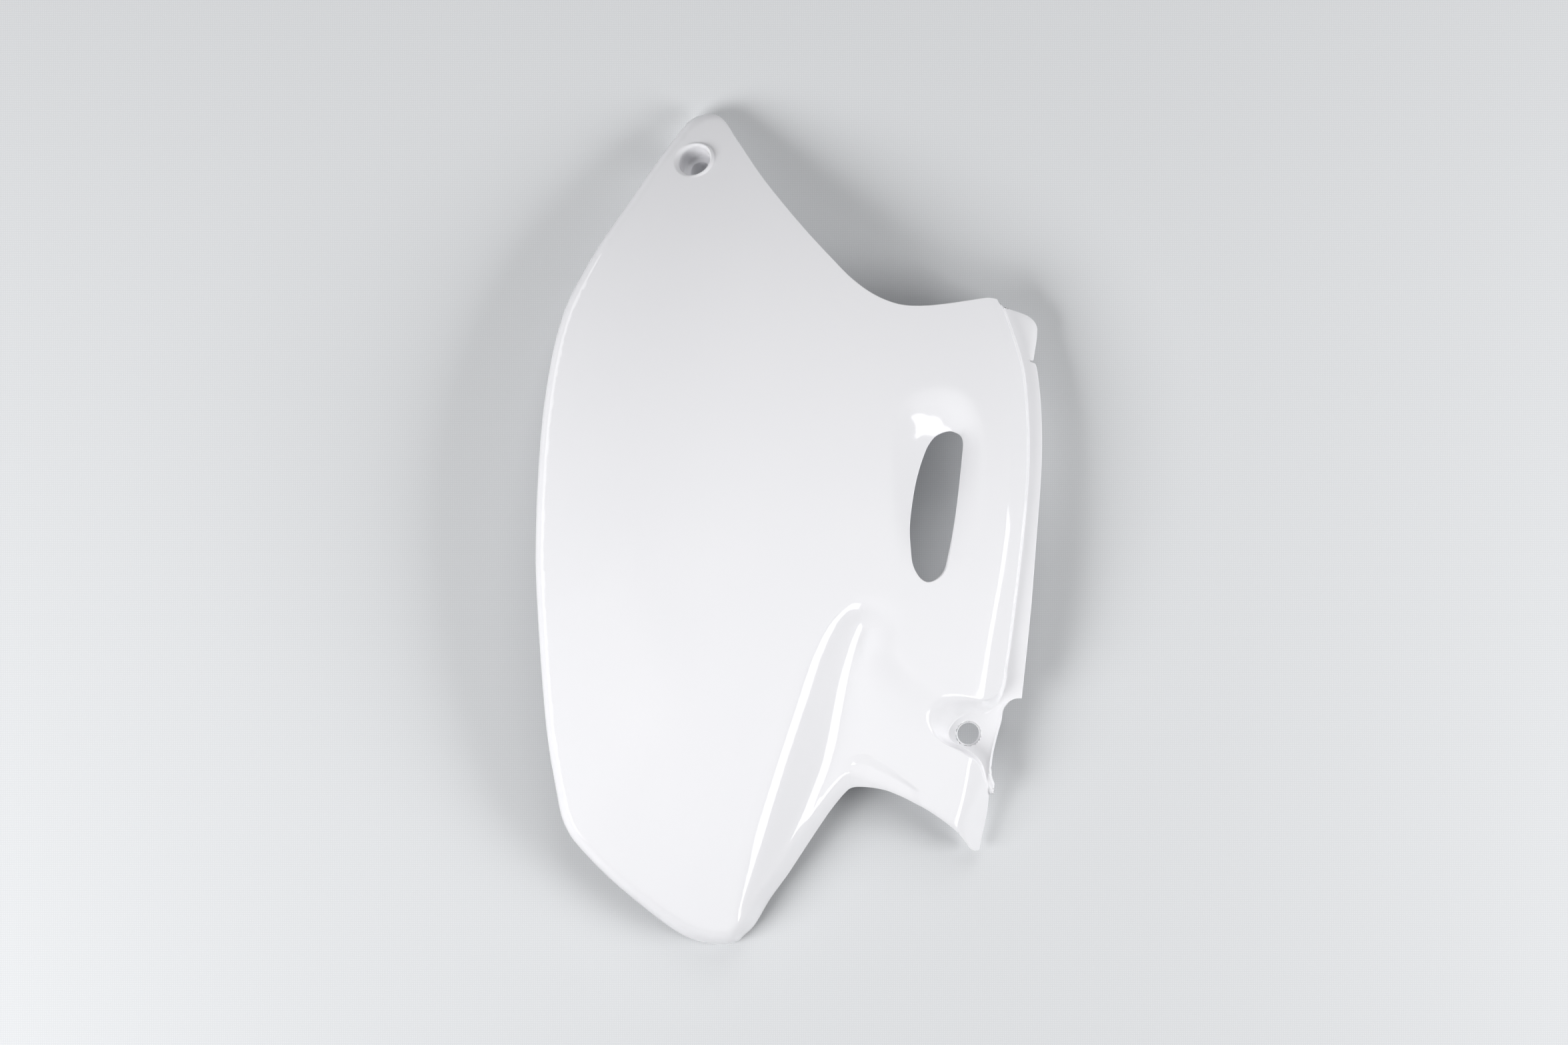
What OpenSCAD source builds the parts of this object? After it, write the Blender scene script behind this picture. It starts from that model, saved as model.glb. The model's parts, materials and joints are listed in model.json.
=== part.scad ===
// Side panel of a motorbike fuel tank: one thin moulded shell.
// It lies with its outer face up. X runs from the long edge to the
// flange, Y from the narrow lower tip to the upper tip, Z is up.
// The origin is under the middle of the panel, on the face it lies on.

/* [Panel] */
// Length over the two tips
panel_l = 470; // [430:1:500]
// Width from the long edge to the flange edge
panel_w = 282; // [262:1:300]
// Thickness of the moulded wall
wall = 2.5; // [2:0.1:3]

/* [Crown] */
// Height of the crown over the face the panel lies on
crown_h = 79; // [70:0.5:90]
// Radius of the crown along the panel
crown_r = 445; // [430:5:520]
// Radius of the crown from the ridge of the lobe to the long edge
left_r = 218; // [200:2:260]
// Radius of the crown from the ridge of the lobe to the flange
right_r = 320; // [300:2:360]

/* [Lobe and side wall] */
// Depth of the slanted wall between the lobe and the vent side
wall_drop = 12; // [6:0.5:16]
// Half width of the round along the ridge and the foot of that wall
fold_r = 4.5; // [2:0.25:6]

/* [Turned edges] */
// Width of the turned band along the lower edges
rim_w = 10; // [7:0.5:12]
// Depth of the band at the lower tip
skirt_d = 17.5; // [10:0.5:18]
// Depth of the band along the wheel arch
arch_d = 4.5; // [3:0.5:8]
// Width of the roll along the long edge
roll_w = 4.5; // [3.5:0.25:7]
// Depth of the roll along the long edge
roll_d = 5; // [3:0.5:8]

/* [Vent] */
// Depth of the dish around the vent slot, at its upper end
dish_d = 8; // [3:0.5:10]
// Half length of the dish
dish_l = 58; // [50:1:66]
// Half width of the dish
dish_w = 26; // [24:1:32]

/* [Flange] */
// Height of the step down to the flange
step_d = 3.5; // [2:0.5:5]
// Extra slope between the crest line and the step
crest_slope = 0.25; // [0.1:0.05:0.5]
// Width of the slit that parts the upper tongue from the flange
slit_w = 1.8; // [1:0.2:3]

/* [Lower fixing tab] */
// Diameter of the screw hole in the tab
tab_bore_d = 12.2; // [6:0.1:14]
// Thickness of the tab
tab_t = 3; // [2.5:0.25:4]
// Height of the tab's face at the hole
tab_z = 29.5; // [27:0.5:31]

/* [Upper fixing cup] */
// Diameter of the screw hole in the floor of the cup
cup_bore_d = 11; // [6:0.1:12]
// Diameter of the cup at its floor
cup_d = 18; // [16:0.5:20]
// Depth of the cup under the outer face
cup_h = 12; // [9:0.5:14]
// Thickness of the cup's floor
cup_floor = 3; // [2:0.25:4]
// Radius of the rounded mouth
mouth_r = 2; // [1:0.25:3]
// Length of the sleeve under the floor
sleeve_h = 9.5; // [4:0.5:10]
// Wall of the sleeve around the screw hole
sleeve_wall = 2.5; // [2:0.25:3]
// Lean of the cup's axis, square to the face there
cup_lean = 29; // [24:1:32]

/* [Hidden] */
$fn = 64;

// Guide lines of the panel in plan, each from the lower to the upper end.
// Their nine points lie on the same nine stations.
stations = [0, 10, 32, 60, 140, 220, 300, 380, 450];
long_edge = [[-53, -233], [-66, -227], [-101, -198], [-126, -165],
             [-139, -80], [-141, 0], [-132, 95], [-99, 171], [-52, 232]];
lobe_left = [[-43, -235], [-47, -223], [-66, -193], [-83, -163],
             [-90, -81], [-89, 0], [-83, 86], [-68, 157], [-45, 235]];
lobe_mid = [[-34, -235], [-37, -222], [-42, -194], [-46, -164],
            [-40, -81], [-29, -2], [-24, 76], [-29, 150], [-30, 219]];
ridge = [[-24, -228], [-29, -218], [-23, -196], [-16, -168],
         [8, -76], [37, -12], [34, 64], [18, 128], [-4, 181]];
wall_mid = [[3, -185], [-4, -179], [-1, -161], [4, -140],
            [20, -77], [43, -11], [42, 61], [32, 122], [9, 165]];
wall_foot = [[27, -148], [18, -139], [18.5, -128], [21, -116],
             [30, -77], [48, -10], [50, 58], [43, 115], [22, 151]];
notch_line = [[36, -141.5], [35, -131], [37, -122], [40, -112],
              [50, -66], [62, -5], [64, 58], [56, 108], [40, 132]];
vent_line = [[52, -143], [54, -133], [57, -123], [60, -112],
             [71, -59], [80, 2], [84, 57], [78, 98], [60, 125]];
crest = [[92, -168], [94, -158], [97, -147], [101, -134],
         [108, -69], [119, 4], [122, 54], [120, 95], [111, 130]];
step_top = [[104, -182], [106, -172], [109, -157], [113, -140],
            [121, -61], [128, -3], [131, 58], [128, 97], [119, 126]];
flange_edge = [[113, -186], [116, -176], [120, -160], [125, -141],
               [132, -64], [138, 0], [141, 54], [140, 95], [137, 119]];
step_foot = [for (p = step_top) p + [1.5, -0.3]];
guides = [long_edge, lobe_left, lobe_mid, ridge, wall_mid, wall_foot,
          notch_line, vent_line, crest, step_top, step_foot, flange_edge];
// Place of each guide line across the panel, in the drawing's own units
across = [0, 55, 100, 140, 152, 163, 180, 200, 245, 260, 262, 271];
flange_u = across[len(across) - 1];
// The shell is drawn this wide and long, then brought to the size asked for.
drawn = [for (k = [0, 1]) let (v = [for (g = guides, p = g) p[k]])
    max(v) - min(v)];
stretch = [panel_w / drawn[0], panel_l / drawn[1], 1];
half_l = drawn[1] / 2;

// Fold lines in plan, as points of rising Y
ridge_fold = [[-31, -230], [-28, -215], [-16, -170], [-6, -132], [3, -99],
              [10, -68], [29, -41], [37, -12]];
foot_fold = [[-24, -222], [-13, -200], [0, -175], [10, -153], [17, -132],
             [25, -99], [34, -57], [36, -37], [48, -10]];
crest_fold = [[86, -185], [93, -160], [101, -134], [108, -69], [119, 4],
              [122, 54], [120, 95], [111, 130]];
step_fold = [[103, -190], [106, -172], [113, -140], [121, -61], [128, -3],
             [131, 58], [128, 97], [119, 126]];
// The slanted wall starts and fades out over these stretches of Y
start_y = [-236, -175];
fade_y = [-112, -36];
least_wall_w = 6;
crest_r = 3;
// Share of the crest's slope that the flange loses again
flange_relief = 0.7;
// The step drops over this distance past its line
step_run = [0.3, 1.5];

// The crown's highest line in plan, and how it sways towards the tips
crown_y = -5;
crown_x = -18;
sway_up = 8;
sway_down = 18;
// Loss of radius on the long side towards the upper tip
left_r_loss = 73;
// Reach of the deeper turned edge above the lower tip
skirt_reach = 120;
// Stretch across the panel where the skirt passes into the arch's edge
arch_u = [120, 170];

// Vent slot, upper fixing cup and the lower pocket, in plan
slot = [[88, 55], [79, 51], [72, 39], [67, 18], [65, -6], [68, -22],
        [75, -28], [82, -25], [86, -13], [90, 12], [94, 39], [94, 52]];
dish_at = [80, 20];
dish_lean = 9;
dish_floor = 0.35;
dish_fade_y = [-34, 46];
cup_at = [-54, 207];
cup_turn = 124;
tab_at = [99, -113];
tab_slope = [-0.16, 0.15];
pocket_rim = [[118, -97], [108, -98], [99, -94], [89, -91], [78, -94],
              [74, -103], [78, -112], [86, -118], [95, -124], [103, -131],
              [108, -140], [110.8, -145.6]];
pocket_foot = [[117, -99], [109, -101], [101, -101], [94, -104], [89, -108],
               [87, -113], [88, -118], [91, -121.5], [97, -127],
               [104.5, -134], [109.2, -140.6], [112, -146.6]];
tab_outline = [[121, -95], [116, -100], [116, -106], [115, -119],
               [111, -129], [110, -137], [113, -144], [114, -147],
               [111, -149], [106, -145], [101, -136], [94, -129],
               [87, -124], [83, -115], [85, -106], [92, -100], [104, -97]];
lower_right = [[112, -148.6], [110, -165], [107, -180], [104, -183]];
slit_at = [135, 93.5];

// Corners of the cutter for everything below the flange
cutter_corners = [[170, -93], [130, -93], [120, -94.5]];
cutter_foot = [[104, -230], [170, -230]];

// How finely the shell is drawn
rows = [0, 2.5, 6, 10, 16, 24, 32, 41, 50, 60, 74, 90, 106, 123, 140,
        156, 172, 188, 204, 220, 236, 252, 268, 284, 300, 316, 332, 348,
        364, 380, 396, 412, 432, 450];
columns = [0, 1.2, 4.5, 12, 26, 40, 55, 70, 85, 100, 118, 132, 137.5, 142.5,
           152, 160.5, 165.5, 172, 180, 190, 200, 210, 220, 232, 245, 252,
           260, 262, flange_u];

function clamp01(t) = min(1, max(0, t));
function ease(t) = let (c = clamp01(t)) c * c * (3 - 2 * c);
function ease_over(span, x) = ease((x - span[0]) / (span[1] - span[0]));
// A fold that starts at d = 0, rounded over r on both sides
function hinge(d, r) = d <= -r ? 0 : d >= r ? d : pow(d + r, 2) / (4 * r);
// Quarter round: 0 at the inner side of a band, 1 at its outer edge
function quarter(c) = let (k = 0.95)
    (1 - sqrt(1 - pow(k * clamp01(c), 2))) / (1 - sqrt(1 - k * k));

// Slope that never makes a curve swing past its own points
function mean_slope(a, b) = is_list(a)
    ? [for (i = [0 : len(a) - 1]) mean_slope(a[i], b[i])]
    : a * b <= 0 ? 0 : 2 * a * b / (a + b);
// Slope of a curve through the points p at the places s
function slope_at(s, p, i) = let (n = len(s) - 1)
    i == 0 ? (p[1] - p[0]) / (s[1] - s[0]) :
    i == n ? (p[n] - p[n - 1]) / (s[n] - s[n - 1]) :
    mean_slope((p[i] - p[i - 1]) / (s[i] - s[i - 1]),
               (p[i + 1] - p[i]) / (s[i + 1] - s[i]));
function span_of(s, x, i = 0) =
    i >= len(s) - 2 || x < s[i + 1] ? i : span_of(s, x, i + 1);
// Smooth curve through the points p at the places s
function curve(s, p, x) = let (
        i = span_of(s, x),
        h = s[i + 1] - s[i],
        t = clamp01((x - s[i]) / h),
        t2 = t * t,
        t3 = t2 * t)
    p[i] * (2 * t3 - 3 * t2 + 1) + p[i + 1] * (3 * t2 - 2 * t3)
    + slope_at(s, p, i) * h * (t3 - 2 * t2 + t)
    + slope_at(s, p, i + 1) * h * (t3 - t2);
function on_line(line, y) =
    curve([for (p = line) p[1]], [for (p = line) p[0]], y);
function index_of(list) = [for (i = [0 : len(list) - 1]) i];

// Depth of the dish around the vent, which runs out at its lower end
function dish(p) = let (
        d = p - dish_at,
        a = d[0] * cos(dish_lean) - d[1] * sin(dish_lean),
        b = d[0] * sin(dish_lean) + d[1] * cos(dish_lean),
        r = norm([a / dish_w, b / dish_l]))
    dish_d * (1 - ease((r - dish_floor) / (1 - dish_floor)))
    * ease_over(dish_fade_y, p[1]);
// Depth of the vent side under the crown, past the slanted wall
function side_drop(p) = let (
        a = on_line(ridge_fold, p[1]),
        b = max(a + least_wall_w, on_line(foot_fold, p[1])),
        deep = wall_drop * ease_over(start_y, p[1])
            * (1 - ease_over(fade_y, p[1])),
        ramp = (hinge(p[0] - a, fold_r) - hinge(p[0] - b, fold_r)) / (b - a))
    deep * ramp * (1 - ease((p[0] - b) / (on_line(step_fold, p[1]) - b)));
// Depth lost past the crest line and at the step to the flange
function edge_drop(p) = let (
        k = on_line(step_fold, p[1]),
        past = p[0] - k)
    crest_slope * (hinge(p[0] - on_line(crest_fold, p[1]), crest_r)
                   - flange_relief * hinge(past, 1))
    + step_d * ease_over(step_run, past);
// Height of the outer face at a drawn place p, without the turned edges
function face_z(p) = let (
        q = p[1] / half_l,
        mid = crown_x - (p[1] > 0 ? sway_up : sway_down) * q * q,
        left = left_r - (p[1] > 0 ? left_r_loss * q * q : 0),
        d = p[0] - mid)
    crown_h - pow(p[1] - crown_y, 2) / (2 * crown_r)
    - d * d / (2 * (d < 0 ? left : right_r))
    - side_drop(p) - edge_drop(p) - dish(p);

// The turned edges: the roll on the long edge and the lower band
function edge_depth(u) = skirt_d + (arch_d - skirt_d) * ease_over(arch_u, u);
function turned(u, v) = let (
        low = 1 - ease(v / skirt_reach),
        w = roll_w + (rim_w - roll_w) * low,
        d = roll_d + (skirt_d - roll_d) * low,
        a = clamp01(1 - u / w),
        b = clamp01(1 - v / rim_w))
    max(d * quarter(a), edge_depth(u) * quarter(b));

function plan(row, u) = curve(across, row, u);
function row_at(v) = [for (g = guides) curve(stations, g, v)];
function at_z(p, z) = [p[0], p[1], z];
function face_grid() = [for (v = rows) let (row = row_at(v))
    [for (u = columns) let (p = plan(row, u))
        at_z(p, face_z(p) - turned(u, v))]];

// Unit normal of a grid of points, upward where the grid runs +X, +Y
function unit(v) = v / norm(v);
function grid_normal(g, i, j) = let (
        i0 = max(i - 1, 0),
        i1 = min(i + 1, len(g) - 1),
        j0 = max(j - 1, 0),
        j1 = min(j + 1, len(g[0]) - 1))
    unit(cross(g[i][j1] - g[i][j0], g[i1][j] - g[i0][j]));

// Closed shell under a grid of points, t thick
module skin(g, t) {
    nr = len(g);
    nc = len(g[0]);
    n = nr * nc;
    top = [for (r = g) each r];
    low = [for (i = index_of(g), j = index_of(g[0]))
        g[i][j] - t * grid_normal(g, i, j)];
    cells = [for (i = [0 : nr - 2], j = [0 : nc - 2]) i * nc + j];
    lid = [for (a = cells) each [[a, a + nc, a + nc + 1],
                                 [a, a + nc + 1, a + 1]]];
    base = [for (f = lid) [f[0] + n, f[2] + n, f[1] + n]];
    rim = concat([for (j = [0 : nc - 1]) j],
                 [for (i = [1 : nr - 1]) i * nc + nc - 1],
                 [for (j = [nc - 2 : -1 : 0]) (nr - 1) * nc + j],
                 [for (i = [nr - 2 : -1 : 1]) i * nc]);
    side = [for (k = index_of(rim)) let (
            a = rim[k],
            b = rim[(k + 1) % len(rim)])
        each [[a, b, b + n], [a, b + n, a + n]]];
    polyhedron(concat(top, low), concat(lid, base, side), convexity = 10);
}

// A closed smooth outline through the points
function closed_outline(pts, steps) = let (n = len(pts))
    [for (i = index_of(pts), k = [0 : steps - 1]) let (
            a = pts[(i + n - 1) % n],
            b = pts[i],
            c = pts[(i + 1) % n],
            d = pts[(i + 2) % n],
            t = k / steps)
        b + ((c - a) * t + (2 * a - 5 * b + 4 * c - d) * t * t
             + (3 * b - a - 3 * c + d) * t * t * t) / 2];
function open_line(pts, steps) = let (s = index_of(pts))
    [for (k = [0 : steps]) curve(s, pts, k * (len(pts) - 1) / steps)];

module prism(pts, z0, z1) {
    translate([0, 0, z0])
        linear_extrude(z1 - z0)
            polygon(pts);
}

module vent_slot() {
    prism(closed_outline(slot, 3), crown_h / 4, crown_h);
}

// Everything beyond the right edge below the flange, with the pocket.
// Its rim is cut at other points than the wall's, so that no edges meet.
module lower_trim() {
    rim = open_line(pocket_rim, 27);
    prism(concat(cutter_corners, rim, lower_right, cutter_foot),
          -wall - skirt_d, crown_h);
}

function tab_face(p) = tab_z + tab_slope * (p - tab_at);

// Wall that leads from the pocket's rim down to the tab
module pocket_wall() {
    rim = open_line(pocket_rim, 24);
    foot = open_line(pocket_foot, 24);
    lap = 0.8;
    skin([for (t = [0, 0.12, 0.5, 0.88, 1])
        [for (k = index_of(rim)) let (
                a = rim[k],
                b = foot[k],
                out = unit(a - b),
                p = a + (b - a) * t + out * lap * (1 - 2 * t),
                za = face_z(a) - lap,
                zb = tab_face(b) - lap)
            at_z(p, za + (zb - za) * t)]], wall);
}

// The frame of the tab: its face is the XY plane, the hole is at 0
module at_tab(scaled = true) {
    normal = unit([-tab_slope[0], -tab_slope[1], 1]);
    turn = atan2(normal[1], normal[0]);
    s = scaled ? stretch : [1, 1, 1];
    translate([tab_at[0] * s[0], tab_at[1] * s[1], tab_z])
        rotate([0, 0, turn])
            rotate([0, acos(normal[2]), 0])
                rotate([0, 0, -turn])
                    children();
}

module tab_plate() {
    at_tab(false)
        translate([0, 0, -tab_t])
            linear_extrude(tab_t)
                polygon([for (p = tab_outline) p - tab_at]);
}

module at_cup() {
    translate([cup_at[0] * stretch[0], cup_at[1] * stretch[1],
               face_z(cup_at)])
        rotate([0, cup_lean, cup_turn])
            children();
}

module cup_body() {
    depth = cup_h + cup_floor;
    at_cup() {
        translate([0, 0, -depth])
            cylinder(d = cup_d + 2 * wall, h = depth - wall / 2);
        translate([0, 0, -depth - sleeve_h])
            cylinder(d = cup_bore_d + 2 * sleeve_wall, h = sleeve_h + 1);
    }
}

module cup_hollow() {
    r = cup_d / 2;
    at_cup() {
        rotate_extrude()
            polygon(concat([[0, -cup_h], [r, -cup_h], [r, -mouth_r]],
                [for (a = [15 : 15 : 90]) [r + mouth_r * (1 - cos(a)),
                                           -mouth_r + mouth_r * sin(a)]],
                [[r + mouth_r, 4], [0, 4]]));
        translate([0, 0, -cup_h - cup_floor - sleeve_h - 1])
            cylinder(d = cup_bore_d, h = cup_floor + sleeve_h + 2);
    }
}

// The moulded shell with its slot, pocket and tab, at the size asked for
module moulding() {
    resize([panel_w, panel_l, 0])
        union() {
            difference() {
                skin(face_grid(), wall);
                vent_slot();
                lower_trim();
                translate(at_z(slit_at, 0))
                    cube([12, slit_w, crown_h]);
            }
            pocket_wall();
            tab_plate();
        }
}

module side_panel() {
    color("whitesmoke")
        difference() {
            union() {
                moulding();
                cup_body();
            }
            cup_hollow();
            at_tab()
                cylinder(d = tab_bore_d, h = 12, center = true);
        }
}

side_panel();
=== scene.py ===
# %% [markdown]
# A side panel of a motorbike's fuel tank: one thin shell of gloss white
# plastic, moulded in a single shot. It lies face up, as it would on a bench.
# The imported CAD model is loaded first, because every piece made here has to
# stay in the place and inside the box that the model gives.

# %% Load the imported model
import json
import math
import bpy
import bmesh
import numpy as np
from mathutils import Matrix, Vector, geometry


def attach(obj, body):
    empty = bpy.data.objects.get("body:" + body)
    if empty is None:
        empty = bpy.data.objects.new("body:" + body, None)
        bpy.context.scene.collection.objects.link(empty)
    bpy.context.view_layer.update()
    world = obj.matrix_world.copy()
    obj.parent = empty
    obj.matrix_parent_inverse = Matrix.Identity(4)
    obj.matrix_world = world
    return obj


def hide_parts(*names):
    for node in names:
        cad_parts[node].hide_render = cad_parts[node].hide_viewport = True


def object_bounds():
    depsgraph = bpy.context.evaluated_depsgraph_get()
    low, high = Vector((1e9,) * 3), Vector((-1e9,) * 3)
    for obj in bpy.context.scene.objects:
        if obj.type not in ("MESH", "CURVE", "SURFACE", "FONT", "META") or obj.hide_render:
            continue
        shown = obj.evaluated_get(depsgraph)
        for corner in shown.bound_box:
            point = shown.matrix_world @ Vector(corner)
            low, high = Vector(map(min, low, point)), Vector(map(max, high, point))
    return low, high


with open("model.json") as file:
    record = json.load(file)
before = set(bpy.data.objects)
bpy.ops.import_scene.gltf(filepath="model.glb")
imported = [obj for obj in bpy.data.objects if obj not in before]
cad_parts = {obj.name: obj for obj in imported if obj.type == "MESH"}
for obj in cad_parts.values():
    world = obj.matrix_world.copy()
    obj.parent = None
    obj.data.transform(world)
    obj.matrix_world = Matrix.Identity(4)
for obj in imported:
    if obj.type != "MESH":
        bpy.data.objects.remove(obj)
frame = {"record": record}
cad_low, cad_high = [list(corner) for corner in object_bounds()]
MM = 0.001
print("CAD box:", cad_low, cad_high)

# %% [markdown]
# The face of the panel is a broad crown that falls away to both sides, with a
# slanted wall on the lobe, a low ramp along the wheel arch, and a crest and a
# step along the right side. It could be pushed into shape by hand on a
# subdivided cage. A rule for the height at each point of the plan is chosen
# instead, because gloss shows every dent and a rule has none. The folds are
# given as a few points in plan, in millimetres, and joined smoothly.

# %% Smooth lines through a few points
def follow(line, at):
    """X of a smooth line through [x, y] points, at each Y."""
    p = np.array(line, float)
    x, y = p[:, 0], p[:, 1]
    gap = np.diff(y)
    slope = np.diff(x) / gap
    s0, s1 = slope[:-1], slope[1:]
    mean = np.where(s0 * s1 > 0, 2 * s0 * s1 / np.where(s0 + s1 == 0, 1, s0 + s1), 0)
    m = np.concatenate([[slope[0]], mean, [slope[-1]]])
    at = np.clip(at, y[0], y[-1])
    i = np.clip(np.searchsorted(y, at) - 1, 0, len(gap) - 1)
    t = (at - y[i]) / gap[i]
    return ((1 + 2 * t) * (1 - t) ** 2 * x[i] + t * (1 - t) ** 2 * gap[i] * m[i]
            + t * t * (3 - 2 * t) * x[i + 1] + t * t * (t - 1) * gap[i] * m[i + 1])


def ease(t):
    """Goes smoothly from 0 to 1 as t does."""
    c = np.clip(t, 0, 1)
    return c * c * (3 - 2 * c)


def hinge(d, r):
    """A rounded corner: flat before a fold, then rising one for one."""
    return np.where(d <= -r, 0, np.where(d >= r, d, (d + r) ** 2 / (4 * r)))


RIDGE = [[-32, -230], [-30, -215], [-19, -172], [-10, -139], [-3.5, -117],
         [3, -96], [10, -74], [14.8, -63], [17.5, -57.7], [21.2, -52], [24.8, -46.8],
         [28.8, -41.3], [34, -34], [35.4, -32]]
WALL_FOOT = [[-24, -222], [-13, -200], [1, -175], [12, -150], [20, -128],
             [27, -96], [32, -74], [35, -63], [36.3, -57.7], [37.2, -52], [37.2, -46.8],
             [37, -41.3], [36.3, -34], [36.1, -32]]
CREST = [[90.5, -185], [92.5, -166], [95.5, -152], [97.6, -140], [99, -129],
         [103, -105], [105.5, -90], [108, -69], [119, 4], [122, 54], [120, 95], [111, 130]]
STEP_LINE = [[103, -190], [106, -172], [113, -140], [121, -61], [128, -3],
             [131, 58], [128, 97], [119, 126]]

# %% A low ramp that follows the wheel arch
ARCH_FOOT = [[-131.9, 27], [-130.6, 32.9], [-129, 38], [-129.4, 42.5], [-131.5, 46.5],
             [-137.5, 58.5], [-145.6, 72.5]]
ARCH_WIDTH = [[6, 27], [5.6, 46], [0.8, 72.5]]
ARCH_D, ARCH_FOLD_R = 1.6, 0.45
ARCH_START_X, ARCH_START_RUN = 27, 12
ARCH_END_X, ARCH_END_RUN = 66, 7


def arch_drop(x, y):
    """Depth of the ramp along the arch below the face, at plan points."""
    low = follow(ARCH_FOOT, x)
    wide = follow(ARCH_WIDTH, x)
    ramp = (hinge(low + wide - y, ARCH_FOLD_R) - hinge(low - y, ARCH_FOLD_R)) / wide
    return (ARCH_D * ramp * ease((x - ARCH_START_X) / ARCH_START_RUN)
            * (1 - ease((x - ARCH_END_X) / ARCH_END_RUN)))


# %% The height of the face
HALF_L = 235
CROWN_X, CROWN_Y, CROWN_H = -18, -5, 78.7
CROWN_R, LEFT_R, RIGHT_R = 445, 218, 320
UPPER_BEND, LOWER_BEND, LEFT_TIGHTER = 8, 18, 73
WALL_SLOPE, WALL_REACH = 0.62, 24
WALL_START_Y, WALL_START_RUN = -240, 32
WALL_END_Y, WALL_END_RUN = -52, 20
REACH_Y, REACH_RUN = -115, 55
FOLD_R, FOLD_SHARE = 6, 0.36
CREST_R, CREST_SLOPE = 1.3, 0.3
BEVEL_SLOPE, BEVEL_Y, BEVEL_RUN = 0.17, -124, 8


def face_height(x, y):
    """Height of the outer face at plan points, in millimetres."""
    x, y = np.asarray(x, float), np.asarray(y, float)
    q = y / HALF_L
    middle = CROWN_X - np.where(y > 0, UPPER_BEND, LOWER_BEND) * q * q
    left = LEFT_R - np.where(y > 0, LEFT_TIGHTER * q * q, 0)
    d = x - middle
    z = (CROWN_H - (y - CROWN_Y) ** 2 / (2 * CROWN_R)
         - d * d / (2 * np.where(d < 0, left, RIGHT_R)))
    a, b = follow(RIDGE, y), follow(WALL_FOOT, y)
    round_r = np.minimum(FOLD_R, FOLD_SHARE * (b - a))
    slope = (WALL_SLOPE * ease((y - WALL_START_Y) / WALL_START_RUN)
             * (1 - ease((y - WALL_END_Y) / WALL_END_RUN)))
    ramp = hinge(x - a, round_r) - hinge(x - b, round_r)
    top = ease((y - REACH_Y) / REACH_RUN)
    reach = (follow(STEP_LINE, y) - b) * (1 - top) + WALL_REACH * top
    z = z - slope * ramp * (1 - ease((x - b) / reach))
    slope = CREST_SLOPE + BEVEL_SLOPE * ease((BEVEL_Y - y) / BEVEL_RUN)
    z = z - slope * hinge(x - follow(CREST, y), CREST_R)
    return z - arch_drop(x, y)


print("crown height:", round(float(face_height(-18, -5)), 1), "mm")

# %% [markdown]
# Right of the step the surface lies lower: a flange that runs down the long
# side and widens into a flat tab with the lower screw hole. A wall joins the
# two levels, low along the flange and high round the pocket above the tab.
# The lower level gets a rule of its own, so that each of the two stays smooth
# right up to the wall.

# %% The lower level
STEP_D, FLANGE_SLOPE = 4.5, 0.28
TAB_AT, TAB_Z, TAB_SLOPE = (99, -113), 29.5, (-0.16, 0.15)
TAB_BLEND_Y, TAB_BLEND_RUN = -58, 38


def tab_height(x, y):
    """Height of the flat tab."""
    return TAB_Z + TAB_SLOPE[0] * (x - TAB_AT[0]) + TAB_SLOPE[1] * (y - TAB_AT[1])


def lower_height(x, y):
    """Height of the flange, which flows into the tab."""
    x, y = np.asarray(x, float), np.asarray(y, float)
    tab = ease((TAB_BLEND_Y - y) / TAB_BLEND_RUN)
    step_x = follow(STEP_LINE, y)
    flange = face_height(step_x, y) - STEP_D - FLANGE_SLOPE * (x - step_x)
    return flange * (1 - tab) + tab_height(x, y) * tab


# %% [markdown]
# The outline is drawn as points in plan. Each carries the width and depth of
# the edge there, because the rim is turned down: a small roll on the long
# side, a deep skirt round the lower tip, a bevel on the notch and no turn at
# all on the top edge. The last number says how round the turn is. A bevel
# tool gives one width all round, and here it changes from place to place.

# %% The outline, counter-clockwise: x, y, turn width, turn depth, roundness
PLAIN, ROLL, BEAD = [1, 0, 1], [4.5, 5, 1], [2.4, -0.8, 1]


def turned(turn, points):
    """Gives each plan point the same width, depth and roundness of turn."""
    return [point + turn for point in points]


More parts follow.
